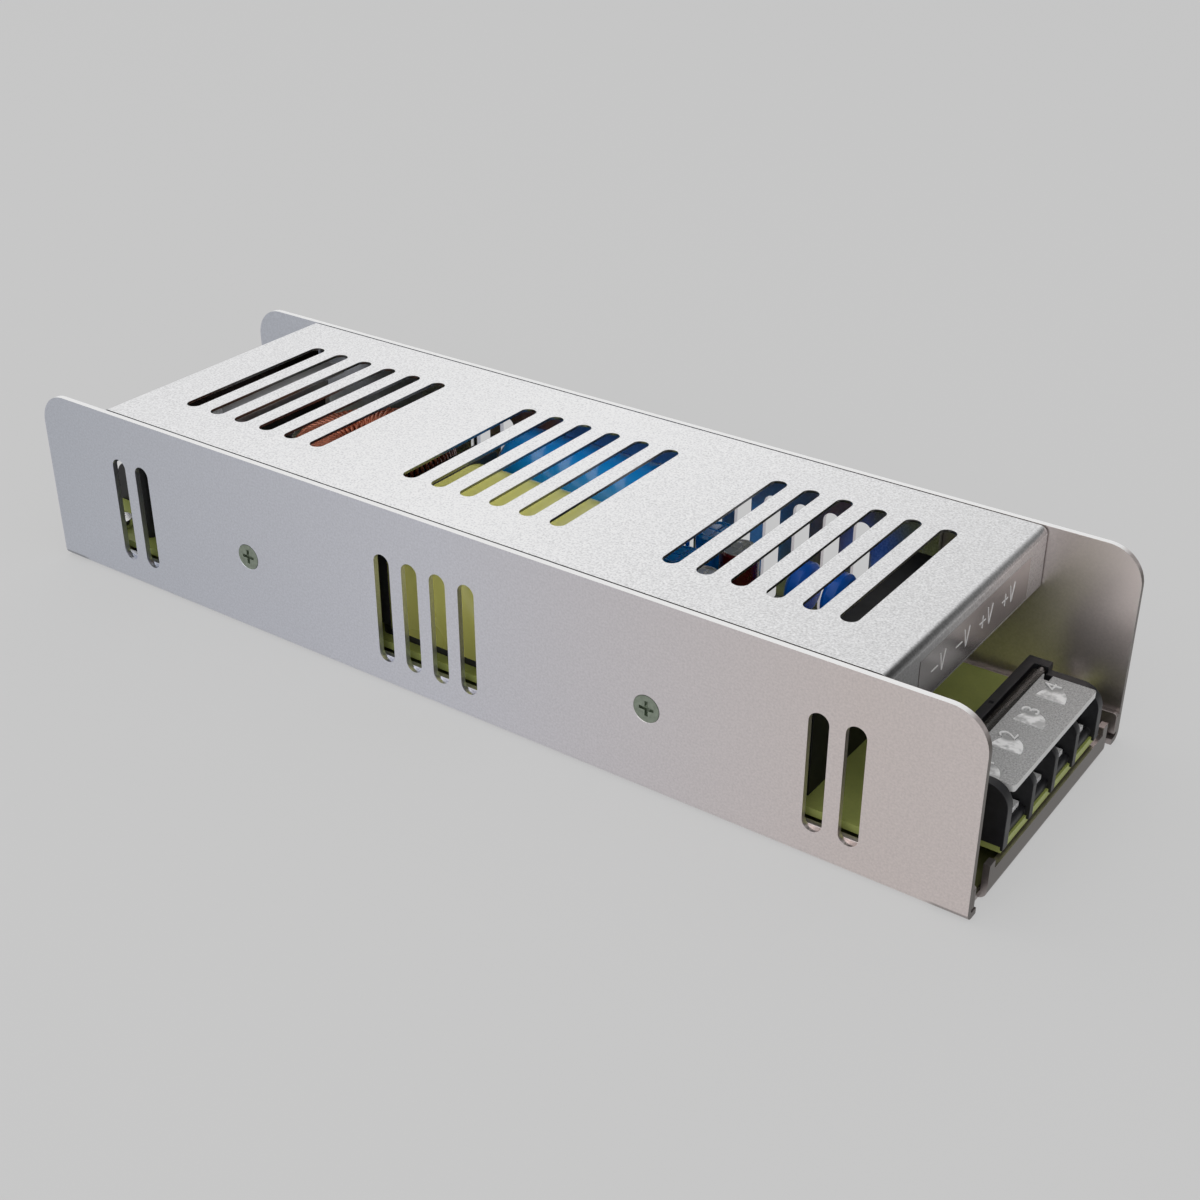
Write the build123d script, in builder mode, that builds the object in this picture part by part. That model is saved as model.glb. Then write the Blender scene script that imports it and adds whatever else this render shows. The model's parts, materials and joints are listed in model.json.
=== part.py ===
from build123d import *
import os

# Enclosed switching power supply in a slim perforated sheet-metal case.
# Millimetres. +Z up, X along the case, the output terminals are at +X.
# Origin: centre of the case in X and Y, underside of the bottom plate at Z = 0.
# "near" is the -Y side, "far" is the +Y side.
# A name that ends in _inset counts inward from an end of the case.
# Corners of an upright sketch are chosen in its own plane, where Y points up.

os.makedirs("parts", exist_ok=True)

# Case: one folded sheet
case_length = 222.0
case_width = 66.7
case_height = 40.0
sheet = 1.2
wall_corner_radius = 7.2
bend_radius = 1.8
lip_height = 5.4
ear_height = 7.1
ear_width = 2.2
relief_start = 3.3
relief_end = 7.3
relief_depth = 1.4
rail_top = 6.4
rail_corner = 0.8
bend_gap = 0.1
mount_spacing_x = 170.0
mount_spacing_y = 40.0
mount_hole_radius = 1.6

# Vents in the side walls, all of one size and height
side_vent_width = 3.9
side_vent_height = 23.9
side_vent_z = 17.8
near_vent_pitch = 6.93
near_vent_input_inset = 22.9
near_vent_middle_x = -13.8
near_vent_output_inset = 29.4
far_vent_first_x = -41.4
far_vent_pitch = 6.88
far_vent_count = 15

# Cover: closes the middle and leaves an open bay at each end
terminal_bay_length = 18.5
cover_side_gap = 0.35
flange_drop = 12.3
cover_bend_radius = 1.6
top_vent_width = 3.4
top_vent_length = 40.7
top_vent_pitch = 7.14
top_vent_count = 6
top_vent_end_margin = 12.25
tab_width = 14.0
tab_bottom_z = 12.0
tab_corner = 2.0

# M3 screws: countersunk in the walls, pan heads inside
screw_z = 17.8
near_screw_x = (-50.9, 47.6)
far_screw_x = (-50.9, 65.0)
m3_radius = 1.5
csk_head_radius = 2.75
csk_clearance = 0.1
thread_clearance = 0.1
cover_screw_length = 8.0
pan_head_radius = 2.8
pan_head_height = 2.0
board_screw_tip_z = 2.2
drive_length = 3.1
drive_width = 0.7
drive_depth = 0.8

# Board, its spacers and the sheet below it
board_bottom = 6.0
board_thickness = 1.6
board_side_gap = 1.3
board_end_inset = 7.0
board_corner = 1.0
tongue_end_inset = 0.6
tongue_ear_gap = 3.35
board_hole_inset = 11.0
board_hole_wall = 7.35
board_hole_clearance = 0.2
spacer_width = 5.5
film_thickness = 0.3
film_end_gap = 0.2
film_lip_gap = 0.45
film_side_gap = 1.25
film_hole_radius = 4.2
film_mount_clearance = 0.9

# Terminal blocks: black body with cheeks and barriers
pole_pitch = 9.5
bar_back_inset = 15.4
bar_thickness = 1.9
bar_top_z = 18.4
arm_front_inset = 10.7
arm_reach = 3.4
arm_bottom_z = 14.6
arm_thickness = 2.3
base_front_inset = 1.0
base_top_z = 9.4
base_front_radius = 0.8
wall_front_inset = 0.1
foot_bottom_z = 6.9
high_cheek_top_z = 19.3
low_cheek_top_z = 17.5
cheek_thickness = 2.1
cheek_radius = 4.2
barrier_top_z = 16.2
barrier_thickness = 1.6
barrier_radius = 2.5
gate_mark = 0.9
gate_mark_depth = 0.5

# Terminal lid and its hinge
rod_inset = 11.9
rod_z = 17.4
rod_radius = 0.8
running_clearance = 0.05
hinge_tube_radius = 1.3
hinge_tube_clearance = 0.25
lid_back_inset = 10.8
lid_front_inset = 0.6
lid_bottom_z = 16.9
lid_top_z = 18.2
lid_end_gap = 1.05
lid_corner_radius = 0.6
lid_notch_length = 1.6
lid_notch_depth = 2.0
lid_notch_gap = 0.05
pad_inset = 6.3
pad_half_length = 2.75
pad_depth = 4.1
pad_offset = 4.3
pad_height = 0.15

# Terminal contacts, clamps and screws
contact_back_inset = 12.4
contact_front_inset = 2.0
contact_thickness = 1.0
contact_width = 7.0
clamp_back_inset = 11.2
clamp_front_inset = 3.8
clamp_width = 7.3
clamp_thickness = 1.2
terminal_screw_inset = 7.0
terminal_head_radius = 3.0
terminal_head_height = 3.0
terminal_head_chamfer = 0.5
terminal_shank_radius = 1.6
terminal_hole_clearance = 0.15
terminal_hole_floor = 0.6
terminal_drive_length = 4.0
terminal_drive_width = 0.9
terminal_drive_depth = 1.2

# Transformer
coil_x0 = -16.8
coil_x1 = 16.5
coil_bottom = 9.8
coil_cover_gap = 2.8
coil_wall_gap = 4.0
coil_bulk_gap = 4.3
coil_corner = 10.0
core_end = 5.6
core_corner = 1.2
core_leg_width = 13.6
core_leg_height = 11.6
leg_clearance = 0.2
transformer_base_end_gap = 1.8
transformer_base_side_gap = 0.8
transformer_base_corner = 1.5

# Input choke
choke_x = -45.0
choke_y = -0.35
ring_inner = 8.2
ring_outer = 15.2
ring_z0 = 11.4
ring_z1 = 31.4
ring_chamfer = 0.8
wire = 0.95
wire_gap = 0.2
wire_corner = 0.9
turns_per_coil = 17
coil_sweep = 156.0
choke_base_margin = 0.3
choke_base_corner = 3.0

# Large capacitor, lying in a cradle
bulk_x0 = -23.0
bulk_x1 = 17.0
bulk_z = 24.5
bulk_radius = 10.0
bulk_wall_gap = 1.2
bulk_rim = 8.6
bulk_recess_radius = 8.4
bulk_recess_depth = 0.5
bulk_groove_depth = 0.7
bulk_lead = 0.8
bulk_lead_gap = 7.5
bulk_lead_reach = 2.2
cradle_x0 = -18.0
cradle_x1 = 10.0
cradle_half_width = 8.0
cradle_top = 19.0
cradle_foot = 6.0
cradle_sole = 2.5
cradle_gap = 0.2

# Upright capacitors and discs: the place along the case, then the gap to the inside of the far wall
filter_radius = 4.0
filter_top = 28.0
filter_1_x = 38.6
filter_1_wall = 33.55
filter_2_x = 38.8
filter_2_wall = 20.15
smoothing_radius = 4.4
smoothing_top = 24.0
smoothing_x = 27.2
smoothing_1_wall = 22.75
smoothing_2_wall = 9.55
can_groove_z = 2.0
can_groove = 0.6
can_rim = 1.0
can_rim_height = 0.3
can_vent_half_width = 0.15
can_vent_share = 0.6
disc_1_x = 49.0
disc_2_x = 57.0
disc_wall = 12.0
disc_z = 18.6
disc_radius = 5.4
disc_thickness = 4.0
disc_lead_gap = 5.0
disc_lead = 0.7
thermistor_inset = 44.5
thermistor_wall = 11.65
thermistor_z = 17.0
thermistor_radius = 6.0
thermistor_thickness = 4.6

# Fuse and line capacitor, by the input end and the near wall
fuse_inset = 18.6
fuse_wall = 8.15
fuse_radius = 3.6
fuse_flange_gap = 1.7
fuse_top = case_height - flange_drop - fuse_flange_gap
fuse_chamfer = 0.8
line_capacitor_inset = 19.0
line_capacitor_length = 18.0
line_capacitor_wall = 13.15
line_capacitor_width = 9.0
line_capacitor_top = 22.5
line_capacitor_corner = 0.8

# Bridge rectifier on its bracket
bracket_inset = 27.2
bracket_sheet = 1.5
bracket_top = 34.5
bracket_depth = 7.0
bracket_near_gap = 3.2
bracket_far_wall = 6.95
bracket_bend = 1.3
rectifier_width = 22.0
rectifier_thickness = 3.6
rectifier_bottom = 11.0
rectifier_top = 28.5
rectifier_corner = 2.5
rectifier_lead_pitch = 5.08
rectifier_lead_width = 1.2
rectifier_lead_back = 1.4
rectifier_lead_thickness = 0.7
rectifier_screw_z = 22.0
rectifier_screw_reach = 2.4

# Output heatsink with two diodes
sink_inset = 33.7
sink_plate = 2.8
sink_depth = 8.3
sink_fin = 1.5
sink_fin_pitch = 5.5
sink_skirt = 9.0
sink_top = 33.5
sink_near_wall = 5.25
sink_far_wall = 11.45
diode_y = (-13.5, 7.5)
diode_width = 10.2
diode_tab = 1.3
diode_tab_top = 23.6
diode_thickness = 4.5
diode_bottom = 10.0
diode_top = 19.0
diode_lead_pitch = 2.54
diode_lead_width = 0.8
diode_lead_back = 2.3
diode_lead_thickness = 0.7

half_l = case_length / 2
half_w = case_width / 2
inner_half_w = half_w - sheet
lip_half = half_w - relief_end
board_top = board_bottom + board_thickness
cover_length = case_length - 2 * terminal_bay_length
cover_half_w = inner_half_w - cover_side_gap


def block(x0, x1, y0, y1, z0, z1, mode=Mode.ADD):
    """Box between two corners, added to the piece that is being built."""
    with Locations(((x0 + x1) / 2, (y0 + y1) / 2, (z0 + z1) / 2)):
        Box(abs(x1 - x0), abs(y1 - y0), abs(z1 - z0), mode=mode)


def post(x, y, z0, z1, radius, mode=Mode.ADD):
    """Upright cylinder."""
    with Locations((x, y, (z0 + z1) / 2)):
        Cylinder(radius, z1 - z0, mode=mode)


def cross_slot(x, y, z, length, width, depth):
    """Cross recess cut down from height z."""
    block(x - length / 2, x + length / 2, y - width / 2, y + width / 2, z - depth, z + depth, mode=Mode.SUBTRACT)
    block(x - width / 2, x + width / 2, y - length / 2, y + length / 2, z - depth, z + depth, mode=Mode.SUBTRACT)


def save(builder, label):
    """Names a finished piece and writes it."""
    builder.part.label = label
    export_step(builder.part, "parts/" + label + ".step")


# Chassis: bottom plate, two side walls, a low lip with raised ears at each end
near_vent_x = [-half_l + near_vent_input_inset + i * near_vent_pitch for i in range(2)]
near_vent_x += [near_vent_middle_x + i * near_vent_pitch for i in range(4)]
near_vent_x += [half_l - near_vent_output_inset + i * near_vent_pitch for i in range(2)]
far_vent_x = [far_vent_first_x + i * far_vent_pitch for i in range(far_vent_count)]
with BuildPart() as chassis:
    with BuildSketch(Plane.YZ.offset(-half_l)) as section:
        with Locations((0, case_height / 2)):
            Rectangle(case_width, case_height)
        fillet(section.vertices().sort_by(Axis.Y)[:2], bend_radius)
        with BuildSketch(Plane.YZ.offset(-half_l), mode=Mode.SUBTRACT) as hollow:
            with Locations((0, sheet + case_height / 2)):
                Rectangle(2 * inner_half_w, case_height)
            fillet(hollow.vertices().sort_by(Axis.Y)[:2], bend_radius - sheet)
    extrude(amount=case_length)
    # Side view of the walls: rounded top corners
    with BuildSketch(Plane.XZ.offset(half_w + sheet)) as side_view:
        with Locations((0, case_height / 2)):
            Rectangle(case_length, case_height)
        fillet(side_view.vertices().sort_by(Axis.Y)[-2:], wall_corner_radius)
    extrude(amount=-case_width - 2 * sheet, mode=Mode.INTERSECT)
    # The bottom plate stops short at both ends, and its middle folds up as a lip
    for end in (-1, 1):
        block(end * (half_l - relief_depth), end * (half_l + sheet),
              -half_w + relief_start, half_w - relief_start, -sheet, bend_radius, mode=Mode.SUBTRACT)
    with BuildSketch(Plane.XZ.offset(lip_half)) as lips:
        with Locations((0, lip_height / 2)):
            Rectangle(case_length, lip_height)
        fillet(lips.vertices().sort_by(Axis.Y)[:2], bend_radius)
        with BuildSketch(Plane.XZ.offset(lip_half), mode=Mode.SUBTRACT) as tray:
            with Locations((0, sheet + lip_height / 2)):
                Rectangle(case_length - 2 * sheet, lip_height)
            fillet(tray.vertices().sort_by(Axis.Y)[:2], bend_radius - sheet)
    extrude(amount=-2 * lip_half)
    for end in (-1, 1):
        for side in (-1, 1):
            block(end * (half_l - sheet), end * half_l, side * (lip_half - ear_width), side * lip_half,
                  lip_height - sheet, ear_height)
    # Vents, countersunk screw holes and the fixing holes of the bottom plate
    for side, places in ((-1, near_vent_x), (1, far_vent_x)):
        with BuildSketch(Plane.XZ.offset(-side * half_w)):
            for x in places:
                with Locations((x, side_vent_z)):
                    SlotOverall(side_vent_height, side_vent_width, rotation=90)
        extrude(amount=side * 1.5 * sheet, mode=Mode.SUBTRACT)
    for side, places in ((-1, near_screw_x), (1, far_screw_x)):
        for x in places:
            with Locations(Plane(origin=(x, side * half_w, screw_z), x_dir=(1, 0, 0), z_dir=(0, side, 0))):
                CounterSinkHole(radius=m3_radius + csk_clearance, depth=2 * sheet,
                                counter_sink_radius=csk_head_radius + csk_clearance, counter_sink_angle=90)
    for sx in (-1, 1):
        for sy in (-1, 1):
            post(sx * mount_spacing_x / 2, sy * mount_spacing_y / 2, -sheet, 2 * sheet, mount_hole_radius,
                 mode=Mode.SUBTRACT)
save(chassis, "chassis")

# Stiffening strips along the foot of each wall, inside
for side, label in ((-1, "base_rail_near"), (1, "base_rail_far")):
    with BuildPart() as rail:
        block(-half_l, half_l, side * inner_half_w, side * (inner_half_w - sheet), bend_radius + bend_gap, rail_top)
        fillet(rail.edges().filter_by(Axis.Y).group_by(Axis.Z)[-1], rail_corner)
    save(rail, label)

# Top cover: three groups of slots, a flange at each end, tabs behind the wall screws
top_vent_group = (top_vent_count - 1) * top_vent_pitch + top_vent_width
top_vent_group_pitch = (cover_length - 2 * top_vent_end_margin - top_vent_group) / 2
with BuildPart() as top_cover:
    with BuildSketch(Plane.XZ.offset(cover_half_w)) as fold:
        with Locations((0, case_height - flange_drop / 2)):
            Rectangle(cover_length, flange_drop)
        fillet(fold.vertices().sort_by(Axis.Y)[-2:], cover_bend_radius)
        with BuildSketch(Plane.XZ.offset(cover_half_w), mode=Mode.SUBTRACT) as under:
            with Locations((0, case_height - sheet - flange_drop / 2)):
                Rectangle(cover_length - 2 * sheet, flange_drop)
            fillet(under.vertices().sort_by(Axis.Y)[-2:], cover_bend_radius - sheet)
    extrude(amount=-2 * cover_half_w)
    tab_top_z = case_height - sheet / 2
    for side, places in ((-1, near_screw_x), (1, far_screw_x)):
        for x in places:
            with BuildSketch(Plane.XZ.offset(-side * cover_half_w)) as tab:
                with Locations((x, (tab_bottom_z + tab_top_z) / 2)):
                    Rectangle(tab_width, tab_top_z - tab_bottom_z)
                fillet(tab.vertices().sort_by(Axis.Y)[:2], tab_corner)
                with Locations((x, screw_z)):
                    Circle(m3_radius + thread_clearance, mode=Mode.SUBTRACT)
            extrude(amount=side * sheet)
    with BuildSketch(Plane.XY.offset(case_height)):
        for group in (-1, 0, 1):
            for i in range(top_vent_count):
                x = group * top_vent_group_pitch + (i - (top_vent_count - 1) / 2) * top_vent_pitch
                with Locations((x, 0)):
                    SlotOverall(top_vent_length, top_vent_width, rotation=90)
    extrude(amount=-2 * sheet, mode=Mode.SUBTRACT)
save(top_cover, "top_cover")

# Countersunk screws, heads flush with the walls
with BuildPart() as cover_screws:
    for side, places in ((-1, near_screw_x), (1, far_screw_x)):
        for x in places:
            with Locations(Location((x, side * half_w, screw_z), (side * 90, 0, 0))):
                Cone(csk_head_radius, m3_radius, csk_head_radius - m3_radius,
                     align=(Align.CENTER, Align.CENTER, Align.MIN))
                Cylinder(m3_radius, cover_screw_length, align=(Align.CENTER, Align.CENTER, Align.MIN))
                Box(drive_length, drive_width, 2 * drive_depth, mode=Mode.SUBTRACT)
                Box(drive_width, drive_length, 2 * drive_depth, mode=Mode.SUBTRACT)
save(cover_screws, "cover_screws")

# Insulating sheet under the board, with holes for the spacers and the fixing screws
board_hole_x = half_l - board_hole_inset
board_hole_y = half_w - board_hole_wall
board_holes = [(sx * board_hole_x, sy * board_hole_y) for sx in (-1, 1) for sy in (-1, 1)]
with BuildPart() as insulating_sheet:
    film_long = half_l - bend_radius - film_end_gap
    film_short = half_l - board_end_inset
    film_narrow = lip_half - film_lip_gap
    film_wide = half_w - bend_radius - film_side_gap
    block(-film_long, film_long, -film_narrow, film_narrow, sheet, sheet + film_thickness)
    block(-film_short, film_short, -film_wide, film_wide, sheet, sheet + film_thickness)
    for x, y in board_holes:
        post(x, y, 0, board_bottom, film_hole_radius, mode=Mode.SUBTRACT)
    for sx in (-1, 1):
        for sy in (-1, 1):
            post(sx * mount_spacing_x / 2, sy * mount_spacing_y / 2, 0, board_bottom,
                 mount_hole_radius + film_mount_clearance, mode=Mode.SUBTRACT)
save(insulating_sheet, "insulating_sheet")

# Circuit board: its ends narrow to a tongue that reaches over the lips between their ears
board_half_length = half_l - board_end_inset
board_half_width = inner_half_w - sheet - board_side_gap
tongue_end = half_l - tongue_end_inset
tongue_half_width = lip_half - ear_width - tongue_ear_gap
with BuildPart() as circuit_board:
    block(-board_half_length, board_half_length, -board_half_width, board_half_width, board_bottom, board_top)
    fillet(circuit_board.edges().filter_by(Axis.Z), board_corner)
    block(-tongue_end, tongue_end, -tongue_half_width, tongue_half_width, board_bottom, board_top)
    for x, y in board_holes:
        post(x, y, 0, 2 * board_top, m3_radius + board_hole_clearance, mode=Mode.SUBTRACT)
save(circuit_board, "circuit_board")

with BuildPart() as board_spacers:
    for x, y in board_holes:
        with BuildSketch(Plane.XY.offset(sheet)):
            with Locations((x, y)):
                RegularPolygon(spacer_width / 2, 6, major_radius=False)
                Circle(m3_radius + thread_clearance, mode=Mode.SUBTRACT)
        extrude(amount=board_bottom - sheet)
save(board_spacers, "board_spacers")

with BuildPart() as board_screws:
    for x, y in board_holes:
        post(x, y, board_top, board_top + pan_head_height, pan_head_radius)
        post(x, y, board_screw_tip_z, board_top, m3_radius)
        cross_slot(x, y, board_top + pan_head_height, drive_length, drive_width, drive_depth)
save(board_screws, "board_screws")


def terminal_block(prefix, poles, end):
    """Barrier terminal block with a flip-up lid. end is +1 for the output end, -1 for the input end."""
    half_poles = poles * pole_pitch / 2
    block_half = half_poles + cheek_thickness
    bar_half = half_poles + arm_reach
    pole_y = [(i - (poles - 1) / 2) * pole_pitch for i in range(poles)]
    bar_back = end * (half_l - bar_back_inset)
    bar_front = end * (half_l - bar_back_inset + bar_thickness)
    arm_front = end * (half_l - arm_front_inset)
    base_front = end * (half_l - base_front_inset)
    wall_front = end * (half_l - wall_front_inset)
    rod_x = end * (half_l - rod_inset)
    screw_x = end * (half_l - terminal_screw_inset)

    def upright_wall(x0, y, z0, z1, radius, thickness):
        """Wall across the poles, rounded at its upper front corner, with a foot over the board's edge."""
        with BuildSketch(Plane.XZ.offset(-y)) as profile:
            with Locations(((x0 + wall_front) / 2, (z0 + z1) / 2)):
                Rectangle(abs(wall_front - x0), z1 - z0)
            upper = profile.vertices().group_by(Axis.Y)[-1].sort_by(Axis.X)
            fillet(upper[-1] if end > 0 else upper[0], radius)
        extrude(profile.sketch, amount=-thickness)
        block(base_front, wall_front, y, y + thickness, board_top, base_top_z)
        block(end * tongue_end, wall_front, y, y + thickness, foot_bottom_z, board_top)

    with BuildPart() as body:
        block(bar_back, bar_front, -bar_half, bar_half, board_top, bar_top_z)
        with BuildSketch(Plane.XZ.offset(-block_half)) as base:
            with Locations(((bar_front + base_front) / 2, (board_top + base_top_z) / 2)):
                Rectangle(abs(base_front - bar_front), base_top_z - board_top)
            upper = base.vertices().group_by(Axis.Y)[-1].sort_by(Axis.X)
            fillet(upper[-1] if end > 0 else upper[0], base_front_radius)
        extrude(amount=2 * block_half)
        for i in range(poles - 1):
            y = (pole_y[i] + pole_y[i + 1] - barrier_thickness) / 2
            upright_wall(bar_front, y, base_top_z, barrier_top_z, barrier_radius, barrier_thickness)
        for side in (-1, 1):
            cheek_top = high_cheek_top_z if side == -end else low_cheek_top_z
            upright_wall(arm_front, side * half_poles, board_top, cheek_top, cheek_radius, side * cheek_thickness)
            block(bar_front, arm_front, side * (bar_half - arm_thickness), side * bar_half, arm_bottom_z, bar_top_z)
            block(bar_front, arm_front, side * half_poles, side * block_half, base_top_z, arm_bottom_z)
            with Locations(Location((rod_x, side * (bar_half - arm_thickness / 2), rod_z), (90, 0, 0))):
                Cylinder(rod_radius + running_clearance, 2 * arm_thickness, mode=Mode.SUBTRACT)
        with Locations(Location((rod_x, 0, rod_z), (90, 0, 0))):
            Cylinder(hinge_tube_radius + hinge_tube_clearance, 2 * half_poles, mode=Mode.SUBTRACT)
        for y in pole_y:
            post(screw_x, y, board_top + terminal_hole_floor, rod_z, terminal_shank_radius + terminal_hole_clearance,
                 mode=Mode.SUBTRACT)
        mark_y = end * pole_pitch / 3
        mark_x = (bar_back + bar_front) / 2
        block(mark_x - gate_mark / 2, mark_x + gate_mark / 2, mark_y - gate_mark / 2, mark_y + gate_mark / 2,
              bar_top_z - gate_mark_depth, bar_top_z + gate_mark_depth, mode=Mode.SUBTRACT)
    save(body, prefix + "_terminal_body")

    with BuildPart() as rod:
        with Locations(Location((rod_x, 0, rod_z), (90, 0, 0))):
            Cylinder(rod_radius, 2 * bar_half)
    save(rod, prefix + "_hinge_rod")

    # Lid: flat plate, hinge tube along its back, back corners notched, one raised pad for each pole
    lid_half = half_poles - lid_end_gap
    lid_back = end * (half_l - lid_back_inset)
    lid_front = end * (half_l - lid_front_inset)
    notch_back = rod_x + end * (hinge_tube_radius + lid_notch_gap)
    with BuildPart() as lid:
        block(lid_back, lid_front, -lid_half, lid_half, lid_bottom_z, lid_top_z)
        fillet(lid.edges().filter_by(Axis.Z), lid_corner_radius)
        with Locations(Location((rod_x, 0, rod_z), (90, 0, 0))):
            Cylinder(hinge_tube_radius, 2 * lid_half)
            Cylinder(rod_radius + running_clearance, 2 * lid_half + hinge_tube_radius, mode=Mode.SUBTRACT)
        for side in (-1, 1):
            block(notch_back, notch_back + end * lid_notch_length, side * (lid_half - lid_notch_depth),
                  side * half_poles, lid_bottom_z - hinge_tube_radius, rod_z + hinge_tube_radius, mode=Mode.SUBTRACT)
        for y in pole_y:
            flat_y = y - end * pad_offset
            with BuildSketch(Plane.XY.offset(lid_top_z)):
                with Locations((end * (half_l - pad_inset), flat_y)):
                    Ellipse(pad_half_length, pad_depth)
                with Locations((end * (half_l - pad_inset), flat_y - end * pad_depth)):
                    Rectangle(4 * pad_half_length, 2 * pad_depth, mode=Mode.SUBTRACT)
            extrude(amount=pad_height)
    save(lid, prefix + "_terminal_lid")

    contact_top = base_top_z + contact_thickness
    clamp_top = contact_top + clamp_thickness
    head_top = clamp_top + terminal_head_height
    with BuildPart() as contacts:
        for y in pole_y:
            block(end * (half_l - contact_back_inset), end * (half_l - contact_front_inset),
                  y - contact_width / 2, y + contact_width / 2, base_top_z, contact_top)
            post(screw_x, y, board_top, head_top, terminal_shank_radius + terminal_hole_clearance,
                 mode=Mode.SUBTRACT)
    save(contacts, prefix + "_contacts")

    with BuildPart() as clamps:
        for y in pole_y:
            block(end * (half_l - clamp_back_inset), end * (half_l - clamp_front_inset),
                  y - clamp_width / 2, y + clamp_width / 2, contact_top, clamp_top)
            post(screw_x, y, board_top, head_top, terminal_shank_radius + terminal_hole_clearance,
                 mode=Mode.SUBTRACT)
    save(clamps, prefix + "_clamps")

    with BuildPart() as screws:
        for y in pole_y:
            post(screw_x, y, clamp_top, head_top, terminal_head_radius)
            post(screw_x, y, board_top + 2 * terminal_hole_floor, clamp_top, terminal_shank_radius)
        rims = screws.edges().filter_by(GeomType.CIRCLE).group_by(Axis.Z)[-1]
        chamfer(rims, terminal_head_chamfer)
        for y in pole_y:
            cross_slot(screw_x, y, head_top, terminal_drive_length, terminal_drive_width, terminal_drive_depth)
    save(screws, prefix + "_terminal_screws")


terminal_block("output", 4, 1)
terminal_block("input", 3, -1)

# Transformer: two ferrite ends joined by a leg through the taped winding
coil_top = case_height - sheet - coil_cover_gap
coil_height = coil_top - coil_bottom
coil_z = (coil_top + coil_bottom) / 2
coil_width = 2 * inner_half_w - coil_wall_gap - coil_bulk_gap - 2 * bulk_radius - bulk_wall_gap
coil_y = -inner_half_w + coil_wall_gap + coil_width / 2
with BuildPart() as transformer_core:
    for x0, x1 in ((coil_x0 - core_end, coil_x0), (coil_x1, coil_x1 + core_end)):
        block(x0, x1, coil_y - coil_width / 2, coil_y + coil_width / 2, coil_bottom, coil_top)
    fillet(transformer_core.edges().filter_by(Axis.X), core_corner)
    block(coil_x0, coil_x1, coil_y - core_leg_width / 2, coil_y + core_leg_width / 2,
          coil_z - core_leg_height / 2, coil_z + core_leg_height / 2)
save(transformer_core, "transformer_core")

with BuildPart() as transformer_winding:
    with BuildSketch(Plane.YZ.offset(coil_x0)):
        with Locations((coil_y, coil_z)):
            RectangleRounded(coil_width, coil_height, coil_corner)
            Rectangle(core_leg_width + 2 * leg_clearance, core_leg_height + 2 * leg_clearance, mode=Mode.SUBTRACT)
    extrude(amount=coil_x1 - coil_x0)
save(transformer_winding, "transformer_winding")

with BuildPart() as transformer_base:
    block(coil_x0 - core_end + transformer_base_end_gap, coil_x1 + core_end - transformer_base_end_gap,
          coil_y - coil_width / 2 + transformer_base_side_gap, coil_y + coil_width / 2 - transformer_base_side_gap,
          board_top, coil_bottom)
    fillet(transformer_base.edges().filter_by(Axis.Z), transformer_base_corner)
save(transformer_base, "transformer_base")

# Input choke: ferrite ring on end with two coils of closed turns
loop_in = ring_inner - wire_gap
loop_out = ring_outer + wire_gap
loop_low = ring_z0 - wire_gap
loop_high = ring_z1 + wire_gap
with BuildPart() as choke_core:
    post(choke_x, choke_y, ring_z0, ring_z1, ring_outer)
    post(choke_x, choke_y, ring_z0 - sheet, ring_z1 + sheet, ring_inner, mode=Mode.SUBTRACT)
    chamfer(choke_core.edges().filter_by(GeomType.CIRCLE), ring_chamfer)
save(choke_core, "choke_core")

with BuildPart() as choke_winding:
    for half in (0, 1):
        for i in range(turns_per_coil):
            angle = 90 + 180 * half + (i - (turns_per_coil - 1) / 2) * coil_sweep / (turns_per_coil - 1)
            turn_plane = Plane(Location((choke_x, choke_y, 0), (0, 0, angle)))
            side_plane = Plane(origin=turn_plane.origin + turn_plane.y_dir * (wire / 2),
                               x_dir=turn_plane.x_dir, z_dir=-turn_plane.y_dir)
            with BuildSketch(side_plane) as turn:
                with Locations(((loop_in + loop_out) / 2, (loop_low + loop_high) / 2)):
                    Rectangle(loop_out - loop_in + 2 * wire, loop_high - loop_low + 2 * wire)
                    chamfer(turn.vertices(), wire_corner)
                    Rectangle(loop_out - loop_in, loop_high - loop_low, mode=Mode.SUBTRACT)
            extrude(amount=wire)
save(choke_winding, "choke_winding")

with BuildPart() as choke_base:
    reach = ring_outer + choke_base_margin
    block(choke_x - reach, choke_x + reach, choke_y - reach, choke_y + reach, board_top, loop_low - wire)
    fillet(choke_base.edges().filter_by(Axis.Z), choke_base_corner)
save(choke_base, "choke_base")

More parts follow.
